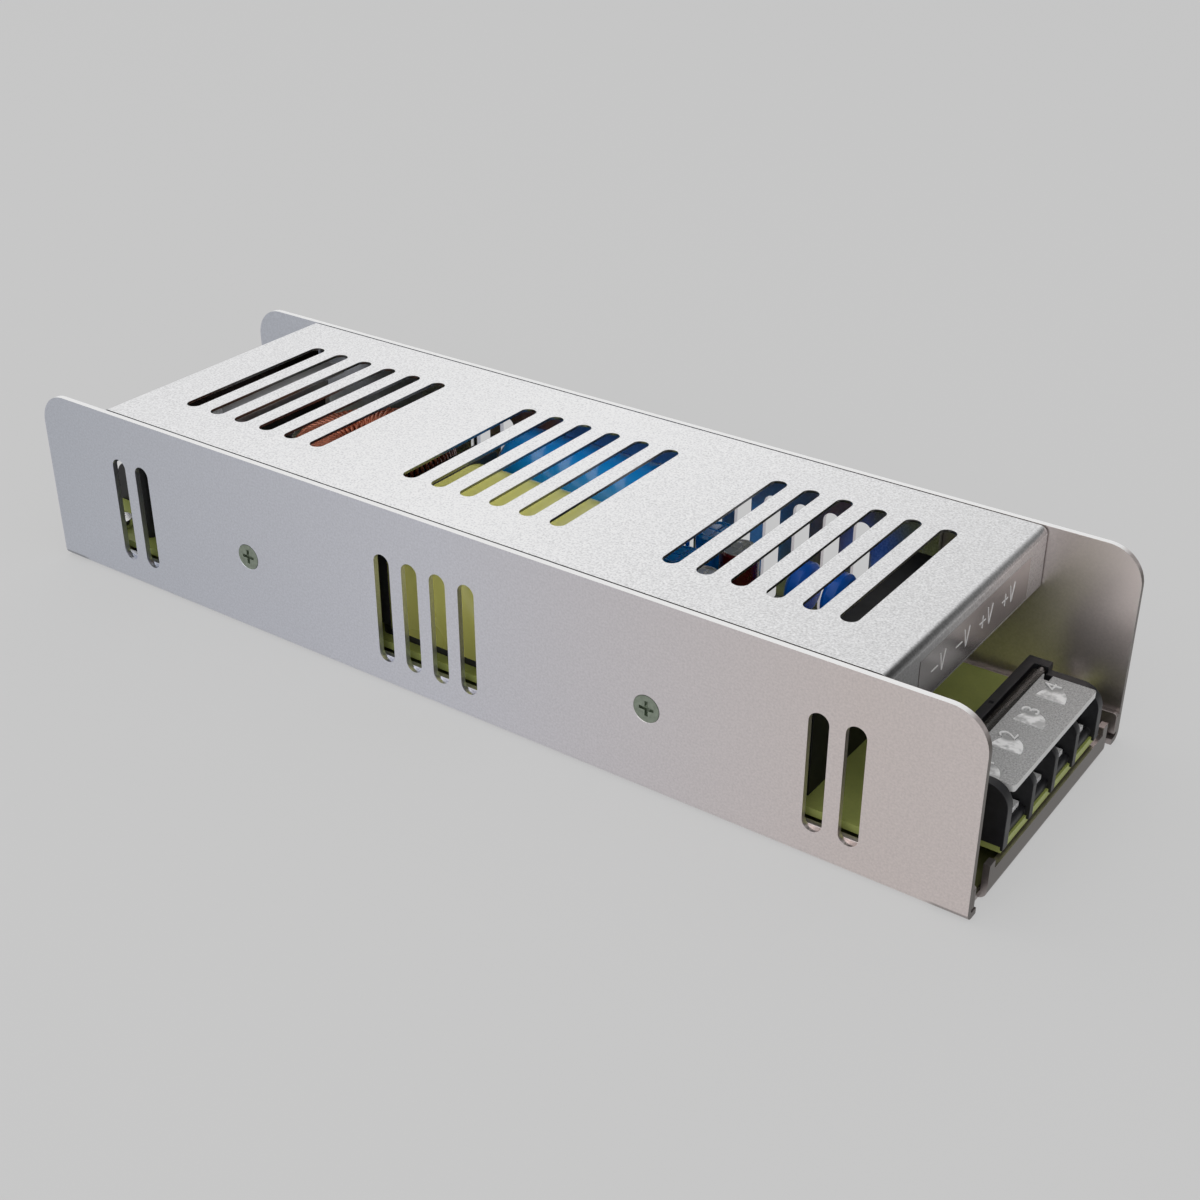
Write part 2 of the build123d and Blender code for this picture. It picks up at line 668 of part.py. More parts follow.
# Large capacitor: turned can with a rolled groove, a recessed end and two leads down to the board
bulk_y = inner_half_w - bulk_wall_gap - bulk_radius
with BuildPart() as bulk_capacitor:
    with BuildSketch(Plane.XZ.offset(-bulk_y)):
        with BuildLine():
            Polyline((bulk_x0, bulk_z), (bulk_x0, bulk_z + bulk_rim), (bulk_x0 + 1.4, bulk_z + bulk_radius),
                     (bulk_x1 - 4.6, bulk_z + bulk_radius),
                     (bulk_x1 - 3.8, bulk_z + bulk_radius - bulk_groove_depth),
                     (bulk_x1 - 3.0, bulk_z + bulk_radius), (bulk_x1 - 0.6, bulk_z + bulk_radius),
                     (bulk_x1, bulk_z + bulk_radius - 0.8), (bulk_x1, bulk_z + bulk_recess_radius),
                     (bulk_x1 - bulk_recess_depth, bulk_z + bulk_recess_radius),
                     (bulk_x1 - bulk_recess_depth, bulk_z), (bulk_x0, bulk_z))
        make_face()
    revolve(axis=Axis((bulk_x0, bulk_y, bulk_z), (1, 0, 0)))
    lead_x = bulk_x1 + bulk_lead_reach
    for side in (-1, 1):
        y = bulk_y + side * bulk_lead_gap / 2
        block(bulk_x1 - 2 * bulk_recess_depth, lead_x, y - bulk_lead / 2, y + bulk_lead / 2,
              bulk_z - bulk_lead / 2, bulk_z + bulk_lead / 2)
        block(lead_x - bulk_lead, lead_x, y - bulk_lead / 2, y + bulk_lead / 2, board_top, bulk_z + bulk_lead / 2)
save(bulk_capacitor, "bulk_capacitor")

# Cradle: two saddles on one sole
with BuildPart() as capacitor_cradle:
    block(cradle_x0, cradle_x1, bulk_y - cradle_half_width, bulk_y + cradle_half_width, board_top, cradle_top)
    with Locations(Location(((cradle_x0 + cradle_x1) / 2, bulk_y, bulk_z), (0, 90, 0))):
        Cylinder(bulk_radius + cradle_gap, 2 * (cradle_x1 - cradle_x0), mode=Mode.SUBTRACT)
    block(cradle_x0 + cradle_foot, cradle_x1 - cradle_foot, bulk_y - 2 * cradle_half_width,
          bulk_y + 2 * cradle_half_width, board_top + cradle_sole, bulk_z, mode=Mode.SUBTRACT)
save(capacitor_cradle, "capacitor_cradle")


def upright_capacitor(label, x, wall_distance, radius, top):
    """Sleeved electrolytic capacitor: rolled groove near the foot, sleeve rim round the scored top disc."""
    y = inner_half_w - wall_distance
    groove_z = board_top + can_groove_z
    with BuildPart() as can:
        with BuildSketch(Plane.XZ.offset(-y)):
            with BuildLine():
                Polyline((x, board_top), (x + radius, board_top), (x + radius, groove_z - can_groove),
                         (x + radius - can_groove, groove_z), (x + radius, groove_z + can_groove),
                         (x + radius, top - can_groove), (x + radius - can_groove, top),
                         (x + radius - can_rim, top), (x + radius - can_rim, top - can_rim_height),
                         (x, top - can_rim_height), (x, board_top))
            make_face()
        revolve(axis=Axis((x, y, 0), (0, 0, 1)))
        cross_slot(x, y, top - can_rim_height, 2 * can_vent_share * radius, 2 * can_vent_half_width, can_rim_height)
    save(can, label)


upright_capacitor("filter_capacitor_1", filter_1_x, filter_1_wall, filter_radius, filter_top)
upright_capacitor("filter_capacitor_2", filter_2_x, filter_2_wall, filter_radius, filter_top)
upright_capacitor("smoothing_capacitor_1", smoothing_x, smoothing_1_wall, smoothing_radius, smoothing_top)
upright_capacitor("smoothing_capacitor_2", smoothing_x, smoothing_2_wall, smoothing_radius, smoothing_top)


def disc_part(label, x, y, z, radius, thickness):
    """Dipped disc that stands on two leads, its flat side across the case."""
    with BuildPart() as disc:
        with Locations(Location((x, y, z), (0, 90, 0))):
            Cylinder(radius, thickness)
        chamfer(disc.edges().filter_by(GeomType.CIRCLE), thickness / 4)
        for side in (-1, 1):
            lead_y = y + side * disc_lead_gap / 2
            block(x - disc_lead / 2, x + disc_lead / 2, lead_y - disc_lead / 2, lead_y + disc_lead / 2,
                  board_top, z - radius / 2)
    save(disc, label)


disc_y = inner_half_w - disc_wall
disc_part("disc_capacitor_1", disc_1_x, disc_y, disc_z, disc_radius, disc_thickness)
disc_part("disc_capacitor_2", disc_2_x, disc_y, disc_z, disc_radius, disc_thickness)
disc_part("thermistor", -half_l + thermistor_inset, -inner_half_w + thermistor_wall, thermistor_z,
          thermistor_radius, thermistor_thickness)

with BuildPart() as fuse:
    post(-half_l + fuse_inset, -inner_half_w + fuse_wall, board_top, fuse_top, fuse_radius)
    chamfer(fuse.edges().filter_by(GeomType.CIRCLE).group_by(Axis.Z)[-1], fuse_chamfer)
save(fuse, "fuse")

line_x0 = -half_l + line_capacitor_inset
line_y0 = -inner_half_w + line_capacitor_wall
with BuildPart() as line_capacitor:
    block(line_x0, line_x0 + line_capacitor_length, line_y0, line_y0 + line_capacitor_width,
          board_top, line_capacitor_top)
    chamfer(line_capacitor.edges().filter_by(Axis.Z), line_capacitor_corner)
save(line_capacitor, "line_capacitor")

# Bridge rectifier, screwed to a bent aluminium bracket that stands across the case
bracket_x = -half_l + bracket_inset
bracket_y0 = line_y0 + line_capacitor_width + bracket_near_gap
bracket_y1 = inner_half_w - bracket_far_wall
rectifier_y = (bracket_y0 + bracket_y1) / 2
rectifier_x0 = bracket_x + bracket_sheet
rectifier_x1 = rectifier_x0 + rectifier_thickness
with BuildPart() as rectifier_bracket:
    block(bracket_x, bracket_x + bracket_sheet, bracket_y0, bracket_y1, board_top, bracket_top)
    block(bracket_x, bracket_x + bracket_depth, bracket_y0, bracket_y1, bracket_top - bracket_sheet, bracket_top)
    fillet(rectifier_bracket.edges().filter_by(Axis.Y).group_by(Axis.Z)[-1].sort_by(Axis.X)[:1], bracket_bend)
    with Locations(Location((bracket_x, rectifier_y, rectifier_screw_z), (0, 90, 0))):
        Cylinder(m3_radius + board_hole_clearance, 4 * bracket_sheet, mode=Mode.SUBTRACT)
save(rectifier_bracket, "rectifier_bracket")

with BuildPart() as bridge_rectifier:
    block(rectifier_x0, rectifier_x1, rectifier_y - rectifier_width / 2, rectifier_y + rectifier_width / 2,
          rectifier_bottom, rectifier_top)
    chamfer(bridge_rectifier.edges().filter_by(Axis.X).group_by(Axis.Z)[-1].sort_by(Axis.Y)[:1], rectifier_corner)
    lead_x0 = rectifier_x0 + rectifier_lead_back
    for i in range(4):
        y = rectifier_y + (i - 1.5) * rectifier_lead_pitch
        block(lead_x0, lead_x0 + rectifier_lead_thickness, y - rectifier_lead_width / 2,
              y + rectifier_lead_width / 2, board_top, rectifier_bottom)
    with Locations(Location((rectifier_x0, rectifier_y, rectifier_screw_z), (0, 90, 0))):
        Cylinder(m3_radius + board_hole_clearance, 4 * rectifier_thickness, mode=Mode.SUBTRACT)
save(bridge_rectifier, "bridge_rectifier")

with BuildPart() as rectifier_screw:
    with Locations(Location((rectifier_x1, rectifier_y, rectifier_screw_z), (0, 90, 0))):
        Cylinder(pan_head_radius, pan_head_height, align=(Align.CENTER, Align.CENTER, Align.MIN))
        Cylinder(m3_radius, rectifier_x1 - bracket_x + rectifier_screw_reach,
                 align=(Align.CENTER, Align.CENTER, Align.MAX))
    with Locations(Location((rectifier_x1 + pan_head_height, rectifier_y, rectifier_screw_z), (0, 90, 0))):
        Box(drive_length, drive_width, 2 * drive_depth, mode=Mode.SUBTRACT)
        Box(drive_width, drive_length, 2 * drive_depth, mode=Mode.SUBTRACT)
save(rectifier_screw, "rectifier_screw")

# Output heatsink: extruded plate with two fins and a skirt, two diodes on its inner face
sink_x = half_l - sink_inset
sink_back = sink_x - sink_plate
sink_y0 = -inner_half_w + sink_near_wall
sink_y1 = inner_half_w - sink_far_wall
with BuildPart() as output_heatsink:
    block(sink_back, sink_x, sink_y0, sink_y1, board_top, sink_top)
    for z in (sink_top, sink_top - sink_fin_pitch):
        block(sink_x - sink_depth, sink_x, sink_y0, sink_y1, z - sink_fin, z)
    block(sink_x - sink_depth, sink_x - sink_depth + sink_fin, sink_y0, sink_y1, sink_top - sink_skirt, sink_top)
save(output_heatsink, "output_heatsink")

for n, y in enumerate(diode_y, start=1):
    with BuildPart() as diode:
        block(sink_back - diode_tab, sink_back, y - diode_width / 2, y + diode_width / 2, diode_bottom, diode_tab_top)
        block(sink_back - diode_thickness, sink_back - diode_tab, y - diode_width / 2, y + diode_width / 2,
              diode_bottom, diode_top)
        lead_x1 = sink_back - diode_lead_back
        for k in (-1, 0, 1):
            lead_y = y + k * diode_lead_pitch
            block(lead_x1 - diode_lead_thickness, lead_x1, lead_y - diode_lead_width / 2,
                  lead_y + diode_lead_width / 2, board_top, diode_bottom)
    save(diode, "output_diode_" + str(n))
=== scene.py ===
import json
import math
import bmesh
import bpy
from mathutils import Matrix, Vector


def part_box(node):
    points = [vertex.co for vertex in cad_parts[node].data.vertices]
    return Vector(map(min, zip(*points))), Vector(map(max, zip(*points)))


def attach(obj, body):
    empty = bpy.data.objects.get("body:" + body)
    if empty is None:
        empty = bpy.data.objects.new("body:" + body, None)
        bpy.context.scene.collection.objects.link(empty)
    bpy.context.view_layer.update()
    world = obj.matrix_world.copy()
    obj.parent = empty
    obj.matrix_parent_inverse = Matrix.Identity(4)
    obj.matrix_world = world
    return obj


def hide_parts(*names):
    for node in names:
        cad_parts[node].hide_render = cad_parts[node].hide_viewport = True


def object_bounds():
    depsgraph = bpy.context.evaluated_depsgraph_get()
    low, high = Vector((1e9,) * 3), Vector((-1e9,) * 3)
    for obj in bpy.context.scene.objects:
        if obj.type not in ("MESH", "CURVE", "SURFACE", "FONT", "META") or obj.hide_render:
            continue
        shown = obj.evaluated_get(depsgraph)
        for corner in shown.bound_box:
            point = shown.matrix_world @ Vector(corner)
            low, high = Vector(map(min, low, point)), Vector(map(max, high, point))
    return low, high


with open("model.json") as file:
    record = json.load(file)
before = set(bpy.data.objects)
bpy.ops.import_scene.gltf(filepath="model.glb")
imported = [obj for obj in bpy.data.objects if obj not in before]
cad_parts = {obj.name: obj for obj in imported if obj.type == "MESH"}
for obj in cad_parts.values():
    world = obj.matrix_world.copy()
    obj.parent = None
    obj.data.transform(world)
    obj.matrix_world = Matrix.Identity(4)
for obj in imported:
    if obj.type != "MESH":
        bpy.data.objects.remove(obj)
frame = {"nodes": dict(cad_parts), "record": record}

# Looks of an enclosed switching power supply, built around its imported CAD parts.
# Metres. X runs along the case towards the output terminals, Z is up.
MM = 0.001
cad_low, cad_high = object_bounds()
half_length = cad_high.x
half_width = cad_high.y
wall_sheet = 1.2 * MM

# Camera, in the same frame, fitted to the photograph
camera_place = Vector((0.18992, -0.24755, 0.18497))
camera_yaw = math.radians(35.41)
camera_pitch = math.radians(29.44)
camera_lens = 52.03
camera_sensor = 36.0

# Studio
floor_grey = 0.612
floor_shown = 0.7
floor_mottle = 0.005
sky_low = 0.73
sky_high = 0.82
softbox_direction = (-0.52, 0.66, 0.54)
softbox_border = (0.35, 0.95)
dark_direction = (0.62, 0.66, 0.38)
dark_border = (0.6, 0.97)
dark_level = 0.35
key_power = 2.8
key_size = 1.3
key_place = Vector((0.1, -1.15, 0.95))
fill_power = 1.2
fill_size = 1.0
fill_place = Vector((-1.1, -0.3, 1.0))
key_colour = (1.0, 0.99, 0.97)
fill_colour = (1.0, 0.97, 0.95)
floor_reach = 12.0
floor_level = -0.05 * MM

# Sheet metal: masks by place, each with a soft border; besides the cut ends they paint highlights,
# reflections and shade
mask_border = 0.1 * MM
cut_end_depth = 1.5 * MM
# Painted highlight: the walls' cut tops above this height are white and matt
wall_top_above = 8 * MM
sheet_rough_spread = 0.04
# Painted reflection: the case's inner faces at the output end, warm, pale and partly matt
painted_reflection_length = 20 * MM
painted_reflection_z = (12 * MM, 36 * MM)
painted_reflection_tone = (0.95, 0.85, 0.82)
painted_reflection_share = 0.6
# Painted shade on the case's lower faces near both ends
foot_z = (9 * MM, 12 * MM)
foot_length = 8 * MM
foot_shade = 0.5
# Painted shade at the near side and painted reflection at the far side of the cover's turned end faces
end_face_shade = (0.28, 1.18)
# Painted shade in the cover's bends
bend_shade = 0.6
# Painted shade on the inner face of the cover's flange at the input end
painted_flange_shade_start = -0.8 * half_length
painted_flange_shade_end = -0.79 * half_length
painted_flange_shade_above = 30 * MM
painted_flange_shade_tone = (0.03, 0.022, 0.02)

# Terminals: poles a fixed pitch apart, numbered on the lids, with polarity marks on the cover's end
pole_pitch = 9.5 * MM
output_poles = 4
input_poles = 3
lid_tube_rise = 0.5 * MM
digit_height = 3.4 * MM
digit_from_lid_front = 6.8 * MM
digit_relief = 0.32 * MM
digit_bevel = 0.04 * MM
digit_thinning = 0.07 * MM
font_cap_height = 0.73
lid_tube_depth = 2.35 * MM
lid_pad_above = 0.05 * MM
mark_plate_thickness = 0.08 * MM
mark_plate_y = (-20.2 * MM, 24.7 * MM)
mark_plate_z = (28.2 * MM, 36.9 * MM)
mark_relief = 0.08 * MM
mark_stroke = 0.18 * MM
sign_z = 32.7 * MM
sign_length = 2.5 * MM
letter_offset = 2.9 * MM
letter_half_width = 1.0 * MM
letter_z = (31.0 * MM, 34.7 * MM)

# Cover: the sheet seen in its slots is thinner than the solid's
slot_underside = 38.8 * MM
slot_underside_shown = 39.4 * MM
slot_reach = 88.0 * MM

# Tape over the transformer's near side
tape_lift = 0.15 * MM
tape_thickness = 0.1 * MM
tape_bend = 0.8 * MM
tape_fold = 6.0 * MM
tape_bend_steps = 5

# Choke: close round turns in two coils on a ring
wire_radius = 0.48 * MM
turns_per_coil = 34
coil_sweep = math.radians(150)
loop_inner = 7.3 * MM
loop_second_layer = 6.3 * MM
loop_outer = 17.3 * MM
loop_low = 10.8 * MM
loop_high = 34.3 * MM
loop_points = 28
loop_squareness = 0.4
ring_inner = 8.2 * MM
ring_outer = 16.4 * MM
ring_low = 11.7 * MM
ring_high = 33.4 * MM
ring_rounding = 1.2 * MM
ring_sides = 64

# Copies of the solids: faces flatter than the first angle are joined, edges sharper than the second
# are rounded, and edges sharper than the third stay creased
flat_angle = math.radians(0.3)
sharp_angle = math.radians(30)
crease_angle = math.radians(48)
weld_distance = 0.0005 * MM
rounding_segments = 2

# Finishes: pairs of tones go from dark to pale, the lid's alpha and roughness from its tube to its plate
noise_middle = (0.3, 0.7)
plain_rough_spread = 0.06
coat_roughness = 0.08
olive_tones = ((0.37, 0.42, 0.112), (0.42, 0.47, 0.13))
olive_edge = (0.44, 0.50, 0.15)
rod_tones = ((0.010, 0.009, 0.008), (0.030, 0.026, 0.024))
can_rim = 0.5 * MM
can_top_depth = 1.0 * MM
dark_red = (0.13, 0.006, 0.012)
lid_speck_size = 0.32 * MM
lid_cloud_size = 1.6 * MM
lid_specks = ((0.27, 0.27, 0.27), (0.64, 0.64, 0.64))
lid_middle = (0.45, 0.45, 0.45)
lid_clouds = ((0.5, 0.5, 0.5), (0.95, 0.95, 0.95))
# Painted shadow around the raised pole numbers
painted_digit_shade = (0.36, 0.36, 0.36)
# Painted highlight on the lid's edges
painted_lid_edge_highlight = (0.85, 0.85, 0.85)
lid_tube_tone = (0.05, 0.045, 0.04)
lid_alpha = (0.42, 0.88)
lid_roughness = (0.05, 0.34)
lid_relief = 0.03 * MM


# Shader helpers

def start_material(name):
    """Empty node material with a Principled shader: (material, tree, shader, object coordinates)."""
    made = bpy.data.materials.new(name)
    made.use_nodes = True
    tree = made.node_tree
    tree.nodes.clear()
    output = tree.nodes.new("ShaderNodeOutputMaterial")
    shader = tree.nodes.new("ShaderNodeBsdfPrincipled")
    tree.links.new(shader.outputs["BSDF"], output.inputs["Surface"])
    coords = tree.nodes.new("ShaderNodeTexCoord")
    return made, tree, shader, coords


def noise(tree, coords, size, detail=2.0, roughness=0.5, stretch=(1, 1, 1)):
    """Noise whose grains are about size metres wide."""
    vector = coords.outputs["Object"]
    if stretch != (1, 1, 1):
        mapping = tree.nodes.new("ShaderNodeMapping")
        mapping.inputs["Scale"].default_value = stretch
        tree.links.new(vector, mapping.inputs["Vector"])
        vector = mapping.outputs["Vector"]
    made = tree.nodes.new("ShaderNodeTexNoise")
    made.inputs["Scale"].default_value = 1.0 / size
    made.inputs["Detail"].default_value = detail
    made.inputs["Roughness"].default_value = roughness
    tree.links.new(vector, made.inputs["Vector"])
    return made.outputs["Fac"]


def span(tree, value, from_low, from_high, to_low, to_high, smooth=False):
    """Maps a value from one range to another, clamped."""
    made = tree.nodes.new("ShaderNodeMapRange")
    if smooth:
        made.interpolation_type = "SMOOTHSTEP"
    made.inputs["From Min"].default_value = from_low
    made.inputs["From Max"].default_value = from_high
    made.inputs["To Min"].default_value = to_low
    made.inputs["To Max"].default_value = to_high
    tree.links.new(value, made.inputs["Value"])
    return made.outputs["Result"]


def uneven(tree, field, low=0, high=1):
    """A noise whose usual values become the range from low to high."""
    return span(tree, field, *noise_middle, low, high)


def maths(tree, operation, first, second=0.0):
    """Math node on numbers or sockets."""
    made = tree.nodes.new("ShaderNodeMath")
    made.operation = operation
    for socket, value in zip(made.inputs, (first, second)):
        if isinstance(value, (int, float)):
            socket.default_value = value
        else:
            tree.links.new(value, socket)
    return made.outputs["Value"]


def mix(tree, amount, first, second, blend="MIX"):
    """Colour mix. Colours are (r, g, b) or sockets."""
    made = tree.nodes.new("ShaderNodeMix")
    made.data_type = "RGBA"
    made.blend_type = blend
    sockets = [s for s in made.inputs if s.type == "RGBA"]
    factor = [s for s in made.inputs if s.name == "Factor" and s.type == "VALUE"][0]
    if isinstance(amount, (int, float)):
        factor.default_value = amount
    else:
        tree.links.new(amount, factor)
    for socket, value in zip(sockets, (first, second)):
        if isinstance(value, tuple):
            socket.default_value = (*value, 1.0)
        else:
            tree.links.new(value, socket)
    return [s for s in made.outputs if s.type == "RGBA"][0]


def product(tree, first, *others):
    """All the masks multiplied."""
    for other in others:
        first = maths(tree, "MULTIPLY", first, other)
    return first


def shaded(tree, colour, factor):
    """The colour times a factor, which is a (r, g, b) or a socket."""
    return mix(tree, 1.0, colour, factor, "MULTIPLY")


def bump(tree, shader, height, distance):
    made = tree.nodes.new("ShaderNodeBump")
    made.inputs["Distance"].default_value = distance
    made.inputs["Strength"].default_value = 1.0
    tree.links.new(height, made.inputs["Height"])
    tree.links.new(made.outputs["Normal"], shader.inputs["Normal"])


def axis_value(tree, coords, output, axis):
    """One axis of the object coordinates or of the normal."""
    split = tree.nodes.new("ShaderNodeSeparateXYZ")
    tree.links.new(coords.outputs[output], split.inputs["Vector"])
    return split.outputs[axis]


def size_on_axis(tree, coords, output, axis):
    return maths(tree, "ABSOLUTE", axis_value(tree, coords, output, axis))


def grey(level):
    return (level, level, level)


# Materials

def wall_masks(tree, coords, lengthways, place, height):
    """Masks on the case for painted light: a highlight on the cut tops of its walls, a reflection on the
    inner faces at the output end, shade on the feet at both ends.
    """
    outward_y = size_on_axis(tree, coords, "Object", "Y")
    inside_y = half_width - wall_sheet
    in_wall = span(tree, outward_y, inside_y, inside_y + mask_border, 0, 1)
    level_face = span(tree, axis_value(tree, coords, "Normal", "Z"), 0.8, 0.95, 0, 1)
    raised = span(tree, height, wall_top_above, wall_top_above + 1 * MM, 0, 1)
    painted_top_highlight_mask = product(tree, level_face, raised, in_wall)
    sideways = span(tree, size_on_axis(tree, coords, "Normal", "Y"), 0.8, 0.95, 0, 1)
    # Painted reflection on the inner faces at the output end
    glow = product(tree, maths(tree, "SUBTRACT", 1.0, in_wall), sideways,
                   span(tree, lengthways, half_length - painted_reflection_length, half_length, 0, 1),
                   span(tree, height, *painted_reflection_z, 0, 1))
    foot = product(tree, span(tree, height, *foot_z, 1, 0),
                   span(tree, outward_y, half_width - mask_border, half_width - 0.02 * MM, 1, 0),
                   span(tree, place, half_length - foot_length, half_length - foot_length + 2 * MM, 0, 1))
    return painted_top_highlight_mask, glow, foot


def cover_tones(tree, coords, toned, painted_slot_shade, lengthways, place, height):
    """Painted shade on the slot walls, painted shade and reflection on an end face that pales to the far
    side, painted shade in the bend and on the flange's inside.
    """
    upright = size_on_axis(tree, coords, "Normal", "Z")
    in_slots = span(tree, place, slot_reach, slot_reach + 1 * MM, 1, 0)
    # Painted shade on the walls of the slots
    slot_wall = product(tree, span(tree, upright, 0.3, 0.6, 1, 0),
                        span(tree, height, slot_underside, slot_underside + mask_border, 0, 1), in_slots)
    toned = mix(tree, slot_wall, toned, painted_slot_shade)
    # Painted shade and reflection across the turned end faces, dark at the near side, pale at the far
    # side
    sideways = axis_value(tree, coords, "Object", "Y")
    across = span(tree, sideways, -half_width, half_width * 0.5, *end_face_shade)
    turned = product(tree, span(tree, upright, 0.80, 0.98, 1, 0),
                     span(tree, place, slot_reach, slot_reach + 1 * MM, 0, 1))
    toned = mix(tree, turned, toned, shaded(tree, toned, across))
    # Painted shade on the inside of the flange at the input end
    inside = product(tree, span(tree, axis_value(tree, coords, "Normal", "X"), 0.7, 0.9, 0, 1),
                     span(tree, lengthways, painted_flange_shade_start, painted_flange_shade_end, 1, 0),
                     span(tree, height, painted_flange_shade_above, painted_flange_shade_above + 1 * MM, 0, 1))
    toned = mix(tree, inside, toned, painted_flange_shade_tone)
    # Painted shade in the bends
    rolled = product(tree, turned, span(tree, upright, 0.1, 0.3, 0, 1))
    return mix(tree, rolled, toned, shaded(tree, toned, grey(bend_shade)))


def sheet_metal(name, cool, middle, warm, grain, grain_size, grain_height, roughness, cut_tone,
                painted_top_highlight_tone=None, painted_slot_shade=None, metallic=1.0):
    """Satin sheet with a fine grain, its cut ends dark, with a painted reflection that tones it cool at
    the input end and warmer at the output end.

    A top highlight tone adds the painted highlight, reflection and shade of the case's walls; a slot
    shade adds the painted shade and reflection of the cover.
    """
    made, tree, shader, coords = start_material(name)
    lengthways = axis_value(tree, coords, "Object", "X")
    place = maths(tree, "ABSOLUTE", lengthways)
    height = axis_value(tree, coords, "Object", "Z")
    # Painted reflection: the sheet toned cool at the input end and warmer at the output end
    painted_reflection_tint = mix(tree, span(tree, lengthways, -half_length, 0, 0, 1), cool, middle)
    painted_reflection_tint = mix(tree, span(tree, lengthways, 0, half_length * 0.8, 0, 1), painted_reflection_tint, warm)
    fine = noise(tree, coords, grain_size, 3.0, 0.6)
    speckled = shaded(tree, painted_reflection_tint, uneven(tree, fine, 1 - grain, 1 + grain))
    cut_start = half_length - cut_end_depth
    cut = product(tree, span(tree, size_on_axis(tree, coords, "Normal", "X"), 0.75, 0.95, 0, 1),
                  span(tree, place, cut_start, cut_start + 0.5 * MM, 0, 1))
    toned = mix(tree, cut, speckled, cut_tone)
    shader.inputs["Metallic"].default_value = metallic
    if painted_top_highlight_tone:
        painted_top_highlight_mask, glow, foot = wall_masks(tree, coords, lengthways, place, height)
        # Painted reflection on the inner faces at the output end
        toned = mix(tree, glow, toned, painted_reflection_tone)
        # Painted shade on the feet, outside the cut ends
        foot = product(tree, foot, maths(tree, "SUBTRACT", 1.0, cut))
        toned = mix(tree, foot, toned, shaded(tree, toned, grey(foot_shade)))
        # Painted highlight: white, matt cut tops of the walls
        toned = mix(tree, painted_top_highlight_mask, toned, painted_top_highlight_tone)
        # The painted highlight and the painted reflection are made matt
        painted_light_matte = maths(tree, "MAXIMUM", painted_top_highlight_mask, product(tree, glow, painted_reflection_share))
        tree.links.new(span(tree, painted_light_matte, 0, 1, metallic, 0), shader.inputs["Metallic"])
    if painted_slot_shade:
        toned = cover_tones(tree, coords, toned, painted_slot_shade, lengthways, place, height)
    tree.links.new(toned, shader.inputs["Base Color"])
    wide = noise(tree, coords, 14 * MM, 1.0)
    rough = span(tree, wide, 0, 1, roughness - sheet_rough_spread, roughness + sheet_rough_spread)
    tree.links.new(rough, shader.inputs["Roughness"])
    if grain_height:
        bump(tree, shader, fine, grain_height)
    return made


def plain(name, colour, variation, size, roughness, metallic=0.0, height=0.0, coat=0.0,
          stretch=(1, 1, 1), specular=0.5):
    """Moulded or plated finish: slightly uneven colour, gloss and surface."""
    made, tree, shader, coords = start_material(name)
    field = noise(tree, coords, size, 3.0, 0.55, stretch)
    darker = tuple(c * (1 - variation) for c in colour)
    lighter = tuple(min(1.0, c * (1 + variation)) for c in colour)
    tone = mix(tree, uneven(tree, field), darker, lighter)
    tree.links.new(tone, shader.inputs["Base Color"])
    second = noise(tree, coords, size * 2.7, 2.0)
    gloss = uneven(tree, second, roughness - plain_rough_spread, roughness + plain_rough_spread)
    tree.links.new(gloss, shader.inputs["Roughness"])
    shader.inputs["Metallic"].default_value = metallic
    shader.inputs["Specular IOR Level"].default_value = specular
    if coat:
        shader.inputs["Coat Weight"].default_value = coat
        shader.inputs["Coat Roughness"].default_value = coat_roughness
    if height:
        bump(tree, shader, field, height)
    return made


def can_finish(name, node, side, top):
    """Sleeved can: the sleeve's colour, and inside its rim a metal top."""
    low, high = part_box(node)
    centre = (low + high) / 2
    top_radius = (high.y - low.y) / 2 - can_rim
    top_floor = high.z - can_top_depth
    made, tree, shader, coords = start_material(name)
    flatten = tree.nodes.new("ShaderNodeMapping")
    flatten.inputs["Location"].default_value = (-centre.x, -centre.y, 0)
    flatten.inputs["Scale"].default_value = (1, 1, 0)
    tree.links.new(coords.outputs["Object"], flatten.inputs["Vector"])
    reach = tree.nodes.new("ShaderNodeVectorMath")
    reach.operation = "LENGTH"
    tree.links.new(flatten.outputs["Vector"], reach.inputs[0])
    inside = span(tree, reach.outputs["Value"], top_radius, top_radius + mask_border, 1, 0)
    height = axis_value(tree, coords, "Object", "Z")
    above = span(tree, height, top_floor, top_floor + mask_border, 0, 1)
    is_top = product(tree, above, inside)
    field = noise(tree, coords, 1.5 * MM, 2.0)
    shade = mix(tree, uneven(tree, field), tuple(c * 0.9 for c in side), side)
    tree.links.new(mix(tree, is_top, shade, top), shader.inputs["Base Color"])
    tree.links.new(span(tree, is_top, 0, 1, 0, 0.7), shader.inputs["Metallic"])
    tree.links.new(uneven(tree, field, 0.26, 0.34), shader.inputs["Roughness"])
    shader.inputs["Coat Weight"].default_value = 0.5
    return made


def solder_mask(name):
    """Olive board: slightly uneven mask, paler at its cut edges."""
    made, tree, shader, coords = start_material(name)
    field = noise(tree, coords, 5 * MM, 2.0)
    fine = noise(tree, coords, 0.6 * MM, 2.0)
    mask = mix(tree, uneven(tree, field), *olive_tones)
    mask = shaded(tree, mask, uneven(tree, fine, 0.96, 1.04))
    edge = span(tree, size_on_axis(tree, coords, "Normal", "Z"), 0.3, 0.7, 1, 0)
    tree.links.new(mix(tree, edge, mask, olive_edge), shader.inputs["Base Color"])
    tree.links.new(uneven(tree, fine, 0.38, 0.46), shader.inputs["Roughness"])
    return made


